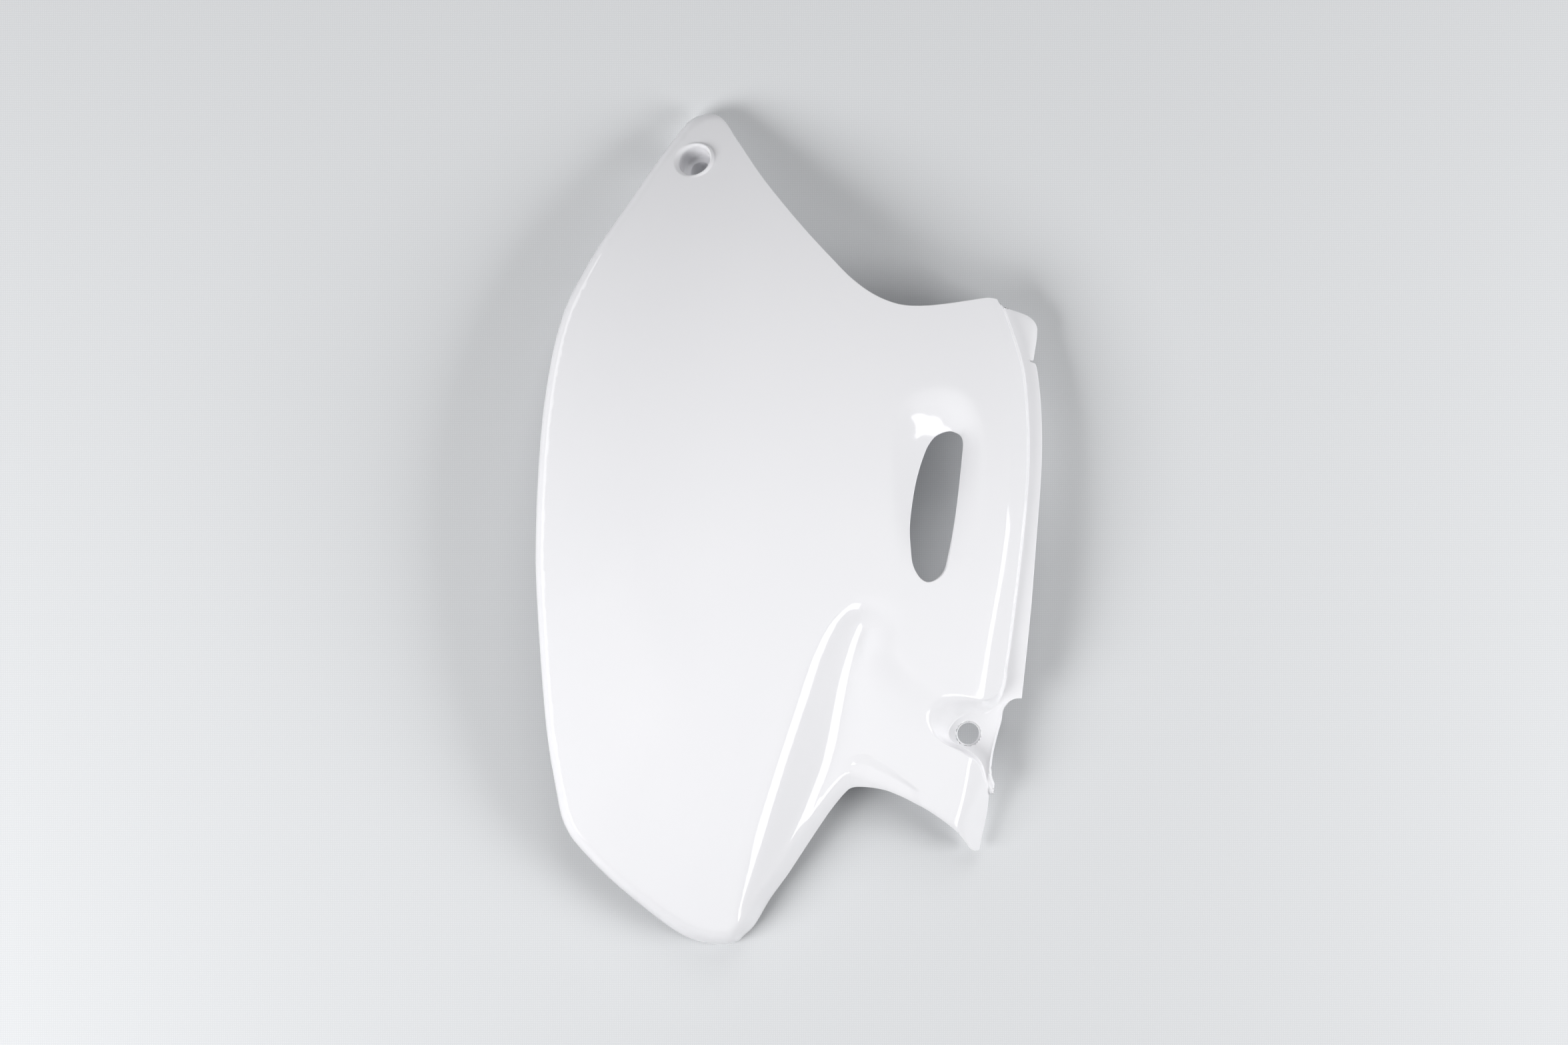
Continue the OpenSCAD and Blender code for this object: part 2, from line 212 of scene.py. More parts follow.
BODY_EDGE = (
    turned(PLAIN, [[114.9, 129.0], [110.4, 129.6], [98.9, 127.7], [85.7, 125.4], [72.6, 123.9],
                   [60.0, 124.4], [47.1, 129.0], [34.4, 137.8], [22.0, 150.5], [9.2, 164.8],
                   [-3.6, 180.4], [-16.2, 197.2], [-29.3, 217.8]])
    + [[-38.4, 232.0, 2, 0.6, 1], [-43.6, 234.7, 3.5, 2, 1]]
    + turned(ROLL, [[-50.6, 234.6], [-57.4, 230.8], [-65.1, 221.0], [-78.0, 202.7], [-90.8, 183.1],
                    [-105.2, 161.9], [-116.2, 143.1], [-124.3, 127.0], [-130.4, 107.5],
                    [-134.9, 83.3], [-137.9, 57.6], [-139.9, 25.5], [-140.8, -0.3], [-140.9, -22.4],
                    [-139.6, -51.1], [-137.9, -80.0], [-135.7, -109.1]])
    + [[-133.4, -128.7, 5, 5.6, 1], [-130.8, -145.4, 5.5, 7, 1], [-128.2, -160.4, 6, 8.5, 1],
       [-123.6, -171.2, 7, 10, 1], [-114.1, -183.1, 8, 12.5, 1], [-101.2, -196.6, 9, 15, 1],
       [-88.2, -208.4, 10, 17.5, 1], [-75.2, -219.4, 11, 19, 1], [-62.5, -228.6, 12, 19.2, 1],
       [-52.8, -232.8, 12, 19.0, 1], [-42.9, -234.7, 12, 18.4, 1], [-34.6, -234.4, 11, 18.0, 0.9],
       [-29.3, -232.3, 10, 17.5, 0.8], [-26.2, -229.3, 9.5, 17, 0.7], [-20.9, -223.9, 9, 15.5, 0.6],
       [-11.1, -207.3, 8.5, 14, 0.4], [-1.0, -192.6, 8.5, 12, 0.35], [7.6, -179.1, 8.5, 11.5, 0.35],
       [17.6, -163.5, 8, 10.5, 0.35], [23.1, -155.4, 8, 10, 0.3], [30.8, -145.8, 9, 9, 0.3],
       [33.8, -143.4, 10, 8, 0.3], [40.0, -142.6, 7, 5, 0.6], [51.5, -144.0, 4, 2.6, 0.9],
       [60.0, -147.1, 2.8, 1.7, 1], [68.6, -151.4, 2.6, 1.5, 1], [74.2, -154.4, 2.6, 1.5, 1],
       [82.8, -160.2, 3, 1.6, 1], [91.6, -167.3, 3, 1.6, 0.8], [97.6, -174.3, 1.5, 0.6, 1],
       [101.6, -179.7, 1, 0.3, 1], [104.0, -180.9, 1, 0.3, 1], [106.7, -180.5, 1, 0.3, 1],
       [108.7, -169.1, 1, 0.3, 1], [110.6, -158.2, 1, 0.2, 1], [111.4, -147.6, 1, 0, 1]])
FLANGE_EDGE = (
    turned(PLAIN, [[112.8, -146.9], [113.4, -147.8], [113.7, -145.2]])
    + turned(BEAD, [[113.3, -142.5], [111.4, -137.4], [111.1, -132.0], [111.7, -126.0],
                    [113.0, -119.2], [114.8, -111.9], [116.5, -105.6], [117.3, -100.1],
                    [119.9, -96.0]])
    + turned(PLAIN, [[124.6, -93.8], [128.9, -93.5], [131.5, -64.3], [133.8, -38.7], [135.2, -19.5],
                     [136.7, -0.3], [138.8, 25.6], [139.7, 41.5], [139.9, 57.9], [139.1, 77.3],
                     [137.1, 92.4], [136.2, 93.6], [133.8, 94.2], [133.9, 95.3]])
    + [[135.9, 95.0, 2.4, 1.2, 0], [138.3, 109.8, 2.6, 1.4, 0], [138.1, 114.8, 2.6, 1.4, 0],
       [134.3, 119.6, 2, 1, 0], [119.3, 125.0, 1, 0, 1]])
SHARP = {(104.0, -180.9), (106.7, -180.5), (113.4, -147.8), (128.9, -93.5),
         (136.2, 93.6), (133.8, 94.2), (133.9, 95.3), (135.9, 95.0)}
PITCH, FINE_PER_NODE = 1.4, 24


def smooth_path(nodes, corners, pitch=PITCH):
    """Even samples along a smooth curve through nodes, with sharp corners kept.

    Columns after x and y are carried along in straight lines."""
    nodes = np.array(nodes, float)
    parts = []
    for first, last in zip(corners[:-1], corners[1:]):
        p = nodes[first:last + 1]
        chord = np.sqrt(np.linalg.norm(np.diff(p[:, :2], axis=0), axis=1))
        t = np.concatenate([[0], np.cumsum(chord)])
        slope = np.gradient(p[:, :2], t, axis=0) if len(p) > 2 else np.repeat(
            (p[1:2, :2] - p[:1, :2]) / t[1], 2, axis=0)
        fine = np.linspace(0, t[-1], FINE_PER_NODE * len(p))
        i = np.clip(np.searchsorted(t, fine) - 1, 0, len(p) - 2)
        h = t[i + 1] - t[i]
        s = (fine - t[i]) / h
        s, h = s[:, None], h[:, None]
        xy = ((1 + 2 * s) * (1 - s) ** 2 * p[i, :2] + s * (1 - s) ** 2 * h * slope[i]
              + s * s * (3 - 2 * s) * p[i + 1, :2] + s * s * (s - 1) * h * slope[i + 1])
        run = np.concatenate([[0], np.cumsum(np.linalg.norm(np.diff(xy, axis=0), axis=1))])
        count = max(2, int(round(run[-1] / pitch)) + 1)
        even = np.linspace(0, run[-1], count)
        columns = [np.interp(even, run, xy[:, k]) for k in (0, 1)]
        columns += [np.interp(even, run, np.interp(fine, t, p[:, k]))
                    for k in range(2, p.shape[1])]
        parts.append(np.stack(columns, axis=1)[:-1])
    parts.append(nodes[corners[-1]][None, :])
    return np.concatenate(parts)


def corners_of(nodes):
    """First, last and sharp nodes of an edge."""
    inner = [i for i, n in enumerate(nodes[1:-1], 1) if (n[0], n[1]) in SHARP]
    return [0] + inner + [len(nodes) - 1]


body_edge = smooth_path(BODY_EDGE, corners_of(BODY_EDGE))
flange_edge = smooth_path(FLANGE_EDGE, corners_of(FLANGE_EDGE))
print("outline samples:", len(body_edge), len(flange_edge))

# %% [markdown]
# The wall of the step is ruled: each point of its soft rim is joined to a
# point of its sharp foot. Beside the flange the two lines run close together.
# Round the pocket they part, and the wall becomes a slope. Ruling it keeps the
# two edges of the wall crisp, which a blend between the levels would not.

# %% The step's rim and foot
STEP_RULES = [
    [117.3, 125.8, 119.3, 125.0], [124.5, 103.3, 126.6, 104.0], [128.4, 87.3, 130.5, 88.0],
    [130.5, 51.7, 132.6, 51.8], [129.5, 24.4, 131.6, 24.4], [126.7, -3.2, 128.8, -3.6],
    [121.6, -47.3, 123.7, -47.8], [118.1, -74.9, 120.2, -75.6], [115.7, -87.5, 118.3, -89.4],
    [111.8, -91.1, 116.5, -94.1], [105.7, -92.3, 113.2, -98.6], [97.4, -90.7, 109.1, -101.5],
    [89.3, -89.4, 103.8, -102.2], [82.6, -90.5, 98.2, -102.3], [77.5, -93.4, 93.4, -103.9],
    [74.2, -97.8, 89.9, -107.6], [73.6, -103.0, 87.8, -111.2], [75.5, -108.3, 88.0, -114.3],
    [79.6, -113.6, 89.5, -116.8], [85.2, -117.7, 91.8, -118.5], [92.0, -121.2, 95.1, -120.1],
    [97.3, -124.4, 99.6, -123.0], [101.9, -127.5, 104.1, -126.4], [104.7, -131.1, 107.0, -130.7],
    [106.3, -135.0, 108.5, -135.3], [107.6, -139.0, 109.7, -139.1], [109.3, -143.3, 111.1, -143.1],
    [111.4, -147.6, 112.8, -146.9]]
WALL_ROWS = [0, 0.06, 0.13, 0.21, 0.31, 0.43, 0.56, 0.69, 0.81, 0.91, 1]
SOFT_RIM, STEP_PITCH = 0.35, 1.2
rules = smooth_path([[r[0], r[1], r[2] - r[0], r[3] - r[1]] for r in STEP_RULES],
                    [0, len(STEP_RULES) - 1], STEP_PITCH)
rim = rules[:, :2]
foot = rim + rules[:, 2:]


def wall_share(f):
    """Part of the step's drop that is made at share f of its width."""
    f = np.asarray(f, float)
    soft = np.where(f < SOFT_RIM, f * f / (2 * SOFT_RIM), f - SOFT_RIM / 2)
    return soft / (1 - SOFT_RIM / 2)


rim_z = face_height(rim[:, 0], rim[:, 1])
foot_z = lower_height(foot[:, 0], foot[:, 1])
print("step rules:", len(rules), "drop", round(float((rim_z - foot_z).min()), 1),
      "to", round(float((rim_z - foot_z).max()), 1), "mm")

# %% [markdown]
# Three openings go through the shell: the vent slot in its dish, the screw
# hole in the tab, and the mouth of the screw cup near the upper tip. They are
# left out of the skin from the start, because a hole that is cut later by a
# boolean leaves ragged triangles that the gloss would show.

# %% The openings
SLOT = [[87.1, 54.4], [80.0, 51.8], [75.6, 46.6], [72.3, 39.0], [69.3, 29.5], [66.8, 17.6],
        [64.9, 2.3], [65.2, -8.5], [66.6, -19.0], [70.7, -25.9], [74.7, -27.8], [79.9, -26.0],
        [84.0, -21.7], [86.3, -13.0], [89.0, 2.3], [91.2, 17.6], [92.7, 29.7], [93.8, 39.2],
        [94.5, 49.0], [93.4, 51.9], [90.4, 53.7], [87.1, 54.4]]


def closed_path(nodes, pitch):
    """Even samples along a smooth closed curve, without the repeated end."""
    wrapped = nodes[-4:-1] + nodes + nodes[1:4]
    path = smooth_path(wrapped, [0, len(wrapped) - 1], pitch * 0.25)
    start = np.argmin(np.linalg.norm(path[: len(path) // 3] - nodes[0], axis=1))
    back = len(path) // 2
    end = back + np.argmin(np.linalg.norm(path[back:] - nodes[-1], axis=1))
    loop = path[start:end + 1]
    run = np.concatenate([[0], np.cumsum(np.linalg.norm(np.diff(loop, axis=0), axis=1))])
    even = np.linspace(0, run[-1], int(run[-1] / pitch) + 1)[:-1]
    return np.stack([np.interp(even, run, loop[:, k]) for k in (0, 1)], axis=1)


DISH_RIM = [[54.5, 34.8], [55.3, 51.1], [57.6, 64.9], [63.9, 73.8], [74.2, 78.3], [85.3, 79.2],
            [95.4, 75.7], [102.4, 67.4], [106.0, 53.4], [106.6, 35.1], [105.0, 13.2],
            [101.9, -8.6], [97.5, -26.0], [89.4, -37.6], [78.3, -40.4], [67.3, -35.6],
            [60.3, -24.4], [56.6, -8.5], [54.8, 9.5], [54.5, 34.8]]
DISH_D, DISH_LOW_Y, DISH_HIGH_Y, DISH_CURVE = 9.5, -25, 52, 1.45
SLOT_PITCH, DISH_PITCH = 1.0, 1.5
slot_loop = closed_path(SLOT, SLOT_PITCH)
dish_loop = closed_path(DISH_RIM, DISH_PITCH)
print("slot loop:", len(slot_loop), "samples")

# %% Where the screw holes meet the skin
WALL = 2.5
SIDES, TAB_HOLE_SIDES = 64, 48
MOUTH_R = 11.2
CUP_FLOOR_TO_CENTRE, CUP_DEPTH = 6.25, 12
mounts = {m["name"]: m for m in frame["record"]["mounts"]}


def square_to(axis):
    """An axis of length 1 and two directions at right angles to it."""
    axis = np.array(axis) / np.linalg.norm(axis)
    u = np.cross([0, 0, 1], axis)
    u /= np.linalg.norm(u)
    return axis, u, np.cross(axis, u)


def ring_on_face(centre, axis, radius, sides, height):
    """A circle about an axis, slid along the axis onto the surface."""
    axis, u, v = square_to(axis)
    turn = np.linspace(0, 2 * np.pi, sides, endpoint=False)[:, None]
    ring = centre + radius * (np.cos(turn) * u + np.sin(turn) * v)
    for _ in range(8):
        ring += ((height(ring[:, 0], ring[:, 1]) - ring[:, 2]) / axis[2])[:, None] * axis
    return ring


cup_mount, tab_mount = mounts["upper_screw_hole"], mounts["lower_screw_hole"]
cup_axis, cup_u, cup_v = square_to(cup_mount["axis"])
cup_mouth = np.array(cup_mount["pos_m"]) / MM + (CUP_FLOOR_TO_CENTRE + CUP_DEPTH) * cup_axis
mouth_ring = ring_on_face(cup_mouth, cup_axis, MOUTH_R, SIDES, face_height)
tab_hole_r = tab_mount["dims"]["r_mm"]
tab_ring = ring_on_face(np.array(tab_mount["pos_m"]) / MM, tab_mount["axis"], tab_hole_r,
                        TAB_HOLE_SIDES, lower_height)
print("cup mouth at", np.round(cup_mouth, 1), "tab hole at", np.round(tab_ring.mean(0), 1))

# %% [markdown]
# The skin is one sheet of small triangles over the plan. Its points follow
# the outline, the folds, the step and the openings in rows, and fill the rest
# evenly, so that reflections run smoothly and folds stay crisp. A plain grid
# would need far more points to show the same folds.

# %% Which plan points belong where
def inside(points, loop):
    """True for the points inside a closed plan loop."""
    a, b = loop, np.roll(loop, -1, axis=0)
    result = np.zeros(len(points), bool)
    for i in range(0, len(points), 4000):
        p = points[i:i + 4000]
        above = (a[None, :, 1] > p[:, None, 1]) != (b[None, :, 1] > p[:, None, 1])
        rise = np.where(b[:, 1] == a[:, 1], 1, b[:, 1] - a[:, 1])
        cut = a[:, 0] + (p[:, None, 1] - a[:, 1]) * (b[:, 0] - a[:, 0]) / rise
        result[i:i + 4000] = (above & (p[:, None, 0] < cut)).sum(1) % 2 == 1
    return result


rows = [rim + rules[:, 2:] * f for f in WALL_ROWS]
end_rules = np.array([row[-1] for row in rows[1:-1]])
start_rules = np.array([row[0] for row in rows[1:-1]])[::-1]


def with_turn(points):
    """Gives plan points an edge that isn't turned."""
    return np.hstack([points, np.tile(np.array(PLAIN, float), (len(points), 1))])


outline = np.concatenate([body_edge, with_turn(end_rules), flange_edge, with_turn(start_rules),
                          with_turn(rows[0][:1])])
lower_region = np.concatenate([foot, flange_edge[1:, :2]])
strip_region = np.concatenate([rim, foot[::-1]])
print("outline:", len(outline), "points")


def nearest(points, loop):
    """Distance from each plan point to a closed loop."""
    a, run = loop, np.roll(loop, -1, axis=0) - loop
    long = np.maximum((run ** 2).sum(1), 1e-9)
    away = points[:, None, :] - a[None]
    t = np.clip((away * run).sum(2) / long, 0, 1)
    return np.linalg.norm(away - t[:, :, None] * run, axis=2).min(1)


def dish_drop(points):
    """How far the dish falls from its rim to the slot, deepest at the top."""
    drop = np.zeros(len(points))
    near = np.flatnonzero(inside(points, dish_loop))
    if len(near):
        p = points[near]
        from_rim, from_slot = nearest(p, dish_loop), nearest(p, slot_loop)
        share = from_rim / (from_rim + from_slot)
        deep = DISH_D * ease((p[:, 1] - DISH_LOW_Y) / (DISH_HIGH_Y - DISH_LOW_Y))
        drop[near] = deep * share ** DISH_CURVE
    return drop


# %% How far the edge is turned down at a plan point
ROUND_REACH = 0.95


def quarter(c):
    """Drop of a quarter round, from 0 at its start to 1 at its end."""
    return (1 - np.sqrt(1 - (ROUND_REACH * c) ** 2)) / (1 - math.sqrt(1 - ROUND_REACH ** 2))


def turned_down(points):
    """Drop of the turned edge at each plan point."""
    a, b = outline, np.roll(outline, -1, axis=0)
    run = b[:, :2] - a[:, :2]
    long = np.maximum((run ** 2).sum(1), 1e-9)
    drop = np.zeros(len(points))
    for i in range(0, len(points), 2000):
        p = points[i:i + 2000]
        away = p[:, None, :] - a[None, :, :2]
        t = np.clip((away * run).sum(2) / long, 0, 1)
        gap = np.linalg.norm(away - t[:, :, None] * run, axis=2)
        near = gap.argmin(1)
        pick = np.arange(len(p))
        t, u = t[pick, near], gap[pick, near]
        wide, deep, round_ = (a[near, k] * (1 - t) + b[near, k] * t for k in (2, 3, 4))
        c = np.clip(1 - u / wide, 0, 1)
        drop[i:i + 2000] = deep * (round_ * quarter(c) + (1 - round_) * c)
    return drop


# %% Points of the skin
placed, cells = [], {}


def place(points, gap=0.0):
    """Adds plan points, leaving out those too close to one that is there."""
    numbers = []
    for x, y in points:
        cell = (int(x // 2), int(y // 2))
        near = (placed[n] for i in (-1, 0, 1) for j in (-1, 0, 1)
                for n in cells.get((cell[0] + i, cell[1] + j), ()))
        if gap and any((x - q[0]) ** 2 + (y - q[1]) ** 2 < gap * gap for q in near):
            continue
        cells.setdefault(cell, []).append(len(placed))
        numbers.append(len(placed))
        placed.append((float(x), float(y)))
    return numbers


def ring_edges(numbers):
    """Edges that join numbered points in a closed ring."""
    return list(zip(numbers, numbers[1:] + numbers[:1]))


def line_edges(numbers):
    """Edges that join numbered points in a line."""
    return list(zip(numbers, numbers[1:]))


outline_n = place(outline[:, :2])
first = len(body_edge) + len(end_rules)
flange_n = outline_n[first:first + len(flange_edge)]
openings = {"slot": slot_loop, "tab hole": tab_ring[:, :2], "cup mouth": mouth_ring[:, :2]}
for name, loop in openings.items():
    area = (loop[:, 0] * np.roll(loop[:, 1], -1) - np.roll(loop[:, 0], -1) * loop[:, 1]).sum()
    openings[name] = loop[::-1] if area > 0 else loop
opening_n = {name: place(loop) for name, loop in openings.items()}
edges = ring_edges(outline_n)
for numbers in opening_n.values():
    edges += ring_edges(numbers)

known_z = {}
for f, row in zip(WALL_ROWS, rows):
    middle = place(row[1:-1])
    ends = [None, None]
    for k, end in ((0, row[0]), (1, row[-1])):
        away = np.linalg.norm(np.array(placed)[outline_n] - end, axis=1)
        ends[k] = outline_n[int(away.argmin())]
    numbers = [ends[0]] + middle + [ends[1]]
    edges += line_edges(numbers)
    share = wall_share(f)
    height = (face_height(row[:, 0], row[:, 1]) * (1 - share)
              + lower_height(row[:, 0], row[:, 1]) * share)
    known_z.update(zip(numbers, height))
across = rules[:, 2:] / np.linalg.norm(rules[:, 2:], axis=1)[:, None]

# %% Graded rows along the edge, the openings and the folds
def sideways(loop):
    """Unit plan normals to the left of a closed loop."""
    run = np.roll(loop, -1, axis=0) - np.roll(loop, 1, axis=0)
    run /= np.linalg.norm(run, axis=1)[:, None]
    return np.stack([-run[:, 1], run[:, 0]], axis=1)


def keep_inside(points):
    """Drops the points that fall off the panel, in an opening or on the step."""
    ok = inside(points, outline[:, :2]) & ~inside(points, strip_region)
    for loop in openings.values():
        ok &= ~inside(points, loop)
    return points[ok]


def beside_line(line, low_y, high_y, step, offsets, gap):
    """Rows of points along a line of the face and beside it."""
    along = np.arange(low_y, high_y, step)
    for away in offsets:
        row = np.stack([follow(line, along) + away, along], axis=1)
        place(keep_inside(row), gap)


STEP_ROWS, STEP_GAP = (0.4, 0.9, 1.6, 2.5), 0.35
EDGE_ROWS = (0.45, 0.95, 1.5, 2.2, 3.1, 4.2, 5.5, 7.0)
OPENING_ROWS, OPENING_GAP = (0.8, 1.7, 2.8), 0.55
ARCH_ROWS, ARCH_GAP = (0, -0.5, 0.5, -1.1, 1.1), 0.45
CREST_ROWS = (0, -0.6, 0.6, -1.3, 1.3)
FOLD_ROWS = (0, -1.2, 1.2, -2.4, 2.4, -3.8, 3.8)
for beside in STEP_ROWS:
    for row in (rim - beside * across, foot + beside * across):
        place(keep_inside(row), STEP_GAP)
inward = sideways(outline[:, :2])
for away in EDGE_ROWS:
    place(keep_inside(outline[:, :2] + away * inward), max(0.4, 0.45 * away))
for loop in openings.values():
    for away in OPENING_ROWS:
        place(keep_inside(loop + away * sideways(loop)), OPENING_GAP)
along = np.arange(30, 73, 0.9)
arch_foot = follow(ARCH_FOOT, along)
for away in ARCH_ROWS:
    for base in (arch_foot, arch_foot + follow(ARCH_WIDTH, along)):
        place(keep_inside(np.stack([along, base + away], axis=1)), ARCH_GAP)
beside_line(CREST, -176, 128, 1.2, CREST_ROWS, 0.5)
for line, low_y, high_y in ((RIDGE, -232, -20), (WALL_FOOT, -160, -20), (CREST, -178, 128)):
    beside_line(line, low_y, high_y, 1.5, FOLD_ROWS, 0.9)
GRID, GRID_ROW, GRID_GAP = 2.1, 0.866, 1.25
GRID_X, GRID_Y = 142, 236
grid = np.array([(x + (j % 2) * GRID / 2, y)
                 for j, y in enumerate(np.arange(-GRID_Y, GRID_Y, GRID * GRID_ROW))
                 for x in np.arange(-GRID_X, GRID_X, GRID)])
place(keep_inside(grid), GRID_GAP)
plan = np.array(placed)
print("skin points:", len(plan))

# %% Triangles between the points
flat_points, _, triangles, from_input, _, _ = geometry.delaunay_2d_cdt(
    [Vector(p) for p in placed], edges, [], 1, 1e-7)
number_of = {}
for out, sources in enumerate(from_input):
    for source in sources:
        number_of[source] = out
flat = np.array([p[:] for p in flat_points])
tri = np.array([t for t in triangles if len(t) == 3])
centre = flat[tri].mean(1)
keep = inside(centre, outline[:, :2])
for loop in openings.values():
    keep &= ~inside(centre, loop)
tri = tri[keep]
e1, e2 = flat[tri[:, 1]] - flat[tri[:, 0]], flat[tri[:, 2]] - flat[tri[:, 0]]
clockwise = e1[:, 0] * e2[:, 1] - e1[:, 1] * e2[:, 0] < 0
tri[clockwise] = tri[clockwise][:, ::-1]
print("triangles:", len(tri), "new points:", len(flat) - len(plan))

# %% [markdown]
# Every point gets its height: the face, the lower level or its place on the
# wall between them, less the dish and the turned edge. The inner skin lies one
# wall thickness below along the surface normal, and a small rounded lip joins
# the two, as the edge of a moulding has. Solidify could add the inner skin,
# but not the rounded lips, so both are made here.

# %% Heights of the outer skin
low_side = inside(flat, lower_region)
low_side[[number_of[n] for n in flange_n]] = True
z = np.where(low_side, lower_height(flat[:, 0], flat[:, 1]),
             face_height(flat[:, 0], flat[:, 1]))
for source, height in known_z.items():
    z[number_of[source]] = height
z -= turned_down(flat) + dish_drop(flat)
outer = np.column_stack([flat, z])
used = np.unique(tri)
print("heights:", round(z[used].min(), 2), "to", round(z[used].max(), 2), "mm")


# %% Normals and the inner skin
def corner_normals(points, faces):
    """Normals at points, each face weighted by its angle there."""
    normal = np.zeros_like(points)
    a, b, c = (points[faces[:, k]] for k in range(3))
    face = np.cross(b - a, c - a)
    face /= np.maximum(np.linalg.norm(face, axis=1), 1e-12)[:, None]
    for k, (p, q, r) in enumerate(((a, b, c), (b, c, a), (c, a, b))):
        u, v = q - p, r - p
        long = np.linalg.norm(u, axis=1) * np.linalg.norm(v, axis=1)
        cos = (u * v).sum(1) / np.maximum(long, 1e-12)
        np.add.at(normal, faces[:, k], face * np.arccos(np.clip(cos, -1, 1))[:, None])
    return normal / np.maximum(np.linalg.norm(normal, axis=1), 1e-12)[:, None]


def neighbour_mean(values, links, count):
    """Mean of each point's neighbours."""
    total = np.zeros_like(values)
    np.add.at(total, links[:, 0], values[links[:, 1]])
    np.add.at(total, links[:, 1], values[links[:, 0]])
    return total / np.maximum(count, 1)[:, None]


SOFTEN_ROUNDS, RELAX_ROUNDS = 6, 3
normal = corner_normals(outer, tri)
sides = np.concatenate([tri[:, [0, 1]], tri[:, [1, 2]], tri[:, [2, 0]]])
links = np.unique(np.sort(sides, axis=1), axis=0)
count = np.bincount(links.ravel(), minlength=len(outer)).astype(float)
soft = normal.copy()
for _ in range(SOFTEN_ROUNDS):
    soft = soft + neighbour_mean(soft, links, count)
    soft /= np.maximum(np.linalg.norm(soft, axis=1), 1e-12)[:, None]
loops = {"outline": [number_of[n] for n in outline_n]}
loops.update({name: [number_of[n] for n in numbers] for name, numbers in opening_n.items()})
on_edge = np.zeros(len(outer), bool)
for numbers in loops.values():
    on_edge[numbers] = True
inner = outer - WALL * np.where(on_edge[:, None], normal, soft)
for _ in range(RELAX_ROUNDS):
    relaxed = neighbour_mean(inner, links, count)
    inner = np.where(on_edge[:, None], inner, 0.5 * inner + 0.5 * relaxed)

# %% Rounded lips along the outline, the slot and the tab hole
LIPS = {"outline": 0.45, "slot": 0.45, "tab hole": 0.9}
LIP_TURNS = np.radians([30, 60, 90])
points = [outer, inner]
faces = [tri.tolist(), (tri[:, ::-1] + len(outer)).tolist()]
back = [np.zeros(len(outer)), np.ones(len(inner))]
total = 2 * len(outer)
for name, lip_r in LIPS.items():
    ring = np.array(loops[name])
    p, n = outer[ring].copy(), normal[ring]
    run = np.roll(p, -1, axis=0) - np.roll(p, 1, axis=0)
    run /= np.linalg.norm(run, axis=1)[:, None]
    out = np.cross(run, n)
    out /= np.linalg.norm(out, axis=1)[:, None]
    top, bottom = p - lip_r * out, p - WALL * n - lip_r * out
    outer[ring], inner[ring] = top, bottom
    rings = [ring]
    for turn in LIP_TURNS:
        points.append(top + lip_r * (math.sin(turn) * out - (1 - math.cos(turn)) * n))
        rings.append(np.arange(total, total + len(ring)))
        total += len(ring)
        back.append(np.zeros(len(ring)))
    for turn in LIP_TURNS[::-1]:
        points.append(bottom + lip_r * (math.sin(turn) * out + (1 - math.cos(turn)) * n))
        rings.append(np.arange(total, total + len(ring)))
        total += len(ring)
        back.append(np.zeros(len(ring)))
    rings.append(ring + len(outer))
    for upper, lower in zip(rings[:-1], rings[1:]):
        quads = np.stack([np.roll(upper, -1), upper, lower, np.roll(lower, -1)], axis=1)
        faces.append(quads.tolist())
shell_points = np.concatenate(points)
shell_faces = [f for group in faces for f in group]
shell_back = np.concatenate(back)
print("shell:", len(shell_points), "points", len(shell_faces), "faces")

# %% [markdown]
# The upper screw sits in a round cup that was turned in the mould about the
# screw's axis. Geometry Nodes make it as a lathe does: the profile's points
# are swept round the axis, so a new profile or number of sides is one change.

# %% The lathe
def link(tree, source, target):
    """Joins two sockets of a node tree."""
    tree.links.new(source, target)


def math_node(tree, operation, a, b=None):
    """A Math node; a and b are sockets or numbers."""
    node = tree.nodes.new("ShaderNodeMath")
    node.operation = operation
    for k, value in enumerate((a, b)):
        if value is None:
            continue
        if isinstance(value, (int, float)):
            node.inputs[k].default_value = value
        else:
            link(tree, value, node.inputs[k])
    return node.outputs[0]


